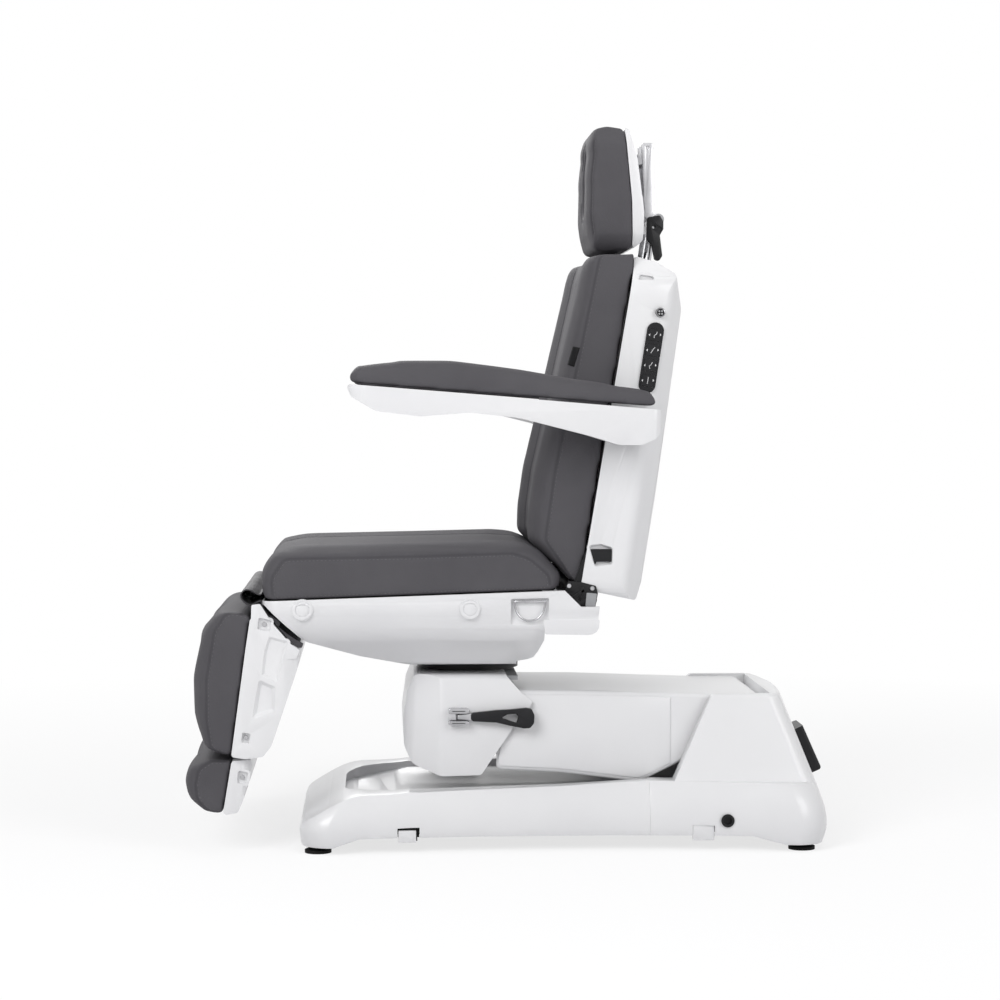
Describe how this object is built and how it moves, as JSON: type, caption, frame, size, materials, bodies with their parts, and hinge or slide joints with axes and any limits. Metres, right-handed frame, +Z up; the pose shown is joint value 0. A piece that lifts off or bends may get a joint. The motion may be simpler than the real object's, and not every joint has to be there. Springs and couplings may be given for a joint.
{
  "type": "podiatry chair",
  "caption": "Powered treatment chair with padded seat, reclining back, folding arms, headrest and extending leg rest on a parallelogram lift, for foot care.",
  "frame": {"origin": "on the floor under the middle of the chair's outline", "axes": "+Z up, the patient faces -Y, the patient's left is +X"},
  "size_m": [0.804, 1.2402, 1.3958],
  "materials": {
    "shell_white": "pale moulded shell",
    "pad_grey": "dark grey leatherette",
    "frame_black": "black powder coat",
    "frame_grey": "grey powder coat",
    "steel": "brushed",
    "chrome": "polished",
    "black_plastic": "fine grain",
    "rubber": "plain"
  },
  "bodies": {
    "base": {"base_frame": "frame_black", "base_front_cover": "shell_white", "base_rear_cover": "shell_white", "power_inlet": "black_plastic", "foot_switch_socket": "black_plastic", "lift_actuator": "black_plastic", "control_box": "black_plastic"},
    "switch": {"power_switch": "black_plastic"},
    "lift_ram": {"lift_rod": "steel"},
    "lift_arm": {"lift_arm_frame": "frame_grey", "lift_arm_cover": "shell_white", "lift_arm_side_panels": "shell_white"},
    "link": {"parallel_link": "frame_grey"},
    "head": {"head_bracket": "frame_grey", "head_housing": "shell_white", "swivel_bearing": "frame_black", "lock_clevis": "chrome"},
    "lock_lever": {"swivel_lock_lever": "black_plastic"},
    "turntable": {"turntable": "frame_black", "tilt_actuator": "black_plastic"},
    "tilt_ram": {"tilt_rod": "steel"},
    "seat": {"seat_frame": "frame_black", "seat_shell": "shell_white", "seat_cushion": "pad_grey", "back_actuator": "black_plastic", "leg_actuator": "black_plastic"},
    "ring_left": {"d_ring_left": "chrome"},
    "ring_right": {"d_ring_right": "chrome"},
    "back_ram": {"back_rod": "steel"},
    "leg_ram": {"leg_rod": "steel"},
    "back": {"backrest_frame": "frame_black", "backrest_shell": "shell_white", "backrest_cushion": "pad_grey", "keypad_panel": "black_plastic"},
    "button": {"round_button": "black_plastic"},
    "arm_left": {"armrest_shell_left": "shell_white", "armrest_pad_left": "pad_grey"},
    "arm_right": {"armrest_shell_right": "shell_white", "armrest_pad_right": "pad_grey"},
    "carriage": {"headrest_posts": "chrome"},
    "headrest": {"headrest_bracket": "steel", "headrest_shell": "shell_white", "headrest_pad": "pad_grey"},
    "clamp_lever": {"headrest_lever": "black_plastic"},
    "leg": {"leg_frame": "frame_black", "leg_shell": "shell_white", "leg_cushion": "pad_grey", "knee_flap": "pad_grey"},
    "foot": {"foot_rails": "steel", "foot_shell": "shell_white", "foot_cushion": "pad_grey"},
    "key_tilt": {"keypad_rocker_tilt": "black_plastic"},
    "key_leg": {"keypad_rocker_leg": "black_plastic"},
    "key_back": {"keypad_rocker_back": "black_plastic"},
    "key_height": {"keypad_rocker_height": "black_plastic"},
    "levelling_front_left": {"levelling_foot_front_left": "rubber"},
    "levelling_front_right": {"levelling_foot_front_right": "rubber"},
    "levelling_rear_left": {"levelling_foot_rear_left": "rubber"},
    "levelling_rear_right": {"levelling_foot_rear_right": "rubber"}
  },
  "joints": [
    {"name": "levelling_front_left_turn", "type": "slide", "parent": "base", "child": "levelling_front_left", "axis": [0, 0, -1], "range_m": [0, 0.015]},
    {"name": "levelling_front_right_turn", "type": "slide", "parent": "base", "child": "levelling_front_right", "axis": [0, 0, -1], "range_m": [0, 0.015]},
    {"name": "levelling_rear_left_turn", "type": "slide", "parent": "base", "child": "levelling_rear_left", "axis": [0, 0, -1], "range_m": [0, 0.015]},
    {"name": "levelling_rear_right_turn", "type": "slide", "parent": "base", "child": "levelling_rear_right", "axis": [0, 0, -1], "range_m": [0, 0.015]},
    {"name": "power_switch_rock", "type": "hinge", "parent": "base", "child": "switch", "pos_m": [0, 0.58694, 0.19203], "axis": [-1, 0, 0], "range_deg": [-8, 8]},
    {"name": "height_lift", "type": "hinge", "parent": "base", "child": "lift_arm", "pos_m": [0, 0.448, 0.255], "axis": [-1, 0, 0], "range_deg": [0, 39]},
    {"name": "lift_rod_slide", "type": "slide", "parent": "base", "child": "lift_ram", "axis": [0, -1, 0], "range_m": [0, 0.12351]},
    {"name": "parallel_link_turn", "type": "hinge", "parent": "base", "child": "link", "pos_m": [0, 0.448, 0.195], "axis": [-1, 0, 0], "range_deg": [0, 39]},
    {"name": "head_level", "type": "hinge", "parent": "lift_arm", "child": "head", "pos_m": [0, -0.102, 0.23], "axis": [-1, 0, 0], "range_deg": [-39, 0]},
    {"name": "swivel", "type": "hinge", "parent": "head", "child": "turntable", "pos_m": [0, -0.087, 0.35], "axis": [0, 0, 1], "range_deg": [-90, 90]},
    {"name": "swivel_lock", "type": "hinge", "parent": "head", "child": "lock_lever", "pos_m": [0.2, -0.104, 0.249], "axis": [0, 0, -1], "range_deg": [0, 100]},
    {"name": "seat_tilt", "type": "hinge", "parent": "turntable", "child": "seat", "pos_m": [0, -0.01, 0.4], "axis": [-1, 0, 0], "range_deg": [0, 12]},
    {"name": "tilt_rod_slide", "type": "slide", "parent": "turntable", "child": "tilt_ram", "axis": [0, 0, 1], "range_m": [0, 0.03031]},
    {"name": "back_recline", "type": "hinge", "parent": "seat", "child": "back", "pos_m": [0, 0.106, 0.493], "axis": [-1, 0, 0], "range_deg": [0, 78]},
    {"name": "back_rod_slide", "type": "slide", "parent": "seat", "child": "back_ram", "axis": [0, -1, 0], "range_m": [0, 0.07552]},
    {"name": "leg_raise", "type": "hinge", "parent": "seat", "child": "leg", "pos_m": [0, -0.482, 0.47], "axis": [-1, 0, 0], "range_deg": [0, 80], "deforming": ["knee_flap"]},
    {"name": "leg_rod_slide", "type": "slide", "parent": "seat", "child": "leg_ram", "axis": [0, -1, 0], "range_m": [0, 0.07714]},
    {"name": "foot_extend", "type": "slide", "parent": "leg", "child": "foot", "axis": [0, -0.1084, -0.9941], "range_m": [0, 0.12]},
    {"name": "armrest_left", "type": "hinge", "parent": "back", "child": "arm_left", "pos_m": [0.354, 0.222, 0.812], "axis": [-1, 0, 0], "range_deg": [-70, 80]},
    {"name": "d_ring_left_swing", "type": "hinge", "parent": "seat", "child": "ring_left", "pos_m": [0.294, 0.021, 0.482], "axis": [0, -1, 0], "range_deg": [0, 90]},
    {"name": "armrest_right", "type": "hinge", "parent": "back", "child": "arm_right", "pos_m": [-0.354, 0.222, 0.812], "axis": [-1, 0, 0], "range_deg": [-70, 80]},
    {"name": "d_ring_right_swing", "type": "hinge", "parent": "seat", "child": "ring_right", "pos_m": [-0.294, 0.021, 0.482], "axis": [0, 1, 0], "range_deg": [0, 90]},
    {"name": "headrest_height", "type": "slide", "parent": "back", "child": "carriage", "axis": [0, 0.1544, 0.988], "range_m": [0, 0.12]},
    {"name": "headrest_tilt", "type": "hinge", "parent": "carriage", "child": "headrest", "pos_m": [0, 0.285, 1.216], "axis": [-1, 0, 0], "range_deg": [0, 35]},
    {"name": "headrest_clamp", "type": "hinge", "parent": "carriage", "child": "clamp_lever", "pos_m": [0.0903, 0.285, 1.216], "axis": [1, 0, 0], "range_deg": [0, 90]},
    {"name": "key_tilt_rock", "type": "hinge", "parent": "back", "child": "key_tilt", "pos_m": [0.283, 0.24428, 0.89902], "axis": [0, 0.1544, 0.988], "range_deg": [-2.5, 2.5], "stiffness_Nm_per_rad": 0.05},
    {"name": "key_leg_rock", "type": "hinge", "parent": "back", "child": "key_leg", "pos_m": [0.283, 0.24876, 0.92767], "axis": [0, 0.1544, 0.988], "range_deg": [-2.5, 2.5], "stiffness_Nm_per_rad": 0.05},
    {"name": "key_back_rock", "type": "hinge", "parent": "back", "child": "key_back", "pos_m": [0.283, 0.25324, 0.95633], "axis": [0, 0.1544, 0.988], "range_deg": [-2.5, 2.5], "stiffness_Nm_per_rad": 0.05},
    {"name": "key_height_rock", "type": "hinge", "parent": "back", "child": "key_height", "pos_m": [0.283, 0.25772, 0.98498], "axis": [0, 0.1544, 0.988], "range_deg": [-2.5, 2.5], "stiffness_Nm_per_rad": 0.05},
    {"name": "round_button_press", "type": "slide", "parent": "back", "child": "button", "axis": [-1, 0, 0], "range_m": [0, 0.002], "stiffness_N_per_m": 400}
  ],
  "couplings": [
    {"joint": "lift_rod_slide", "follows": "height_lift", "m_per_rad": 0.18145},
    {"joint": "parallel_link_turn", "follows": "height_lift", "ratio": 1},
    {"joint": "head_level", "follows": "height_lift", "ratio": -1},
    {"joint": "tilt_rod_slide", "follows": "seat_tilt", "m_per_rad": 0.14473},
    {"joint": "back_rod_slide", "follows": "back_recline", "m_per_rad": 0.055473},
    {"joint": "leg_rod_slide", "follows": "leg_raise", "m_per_rad": 0.055244}
  ]
}
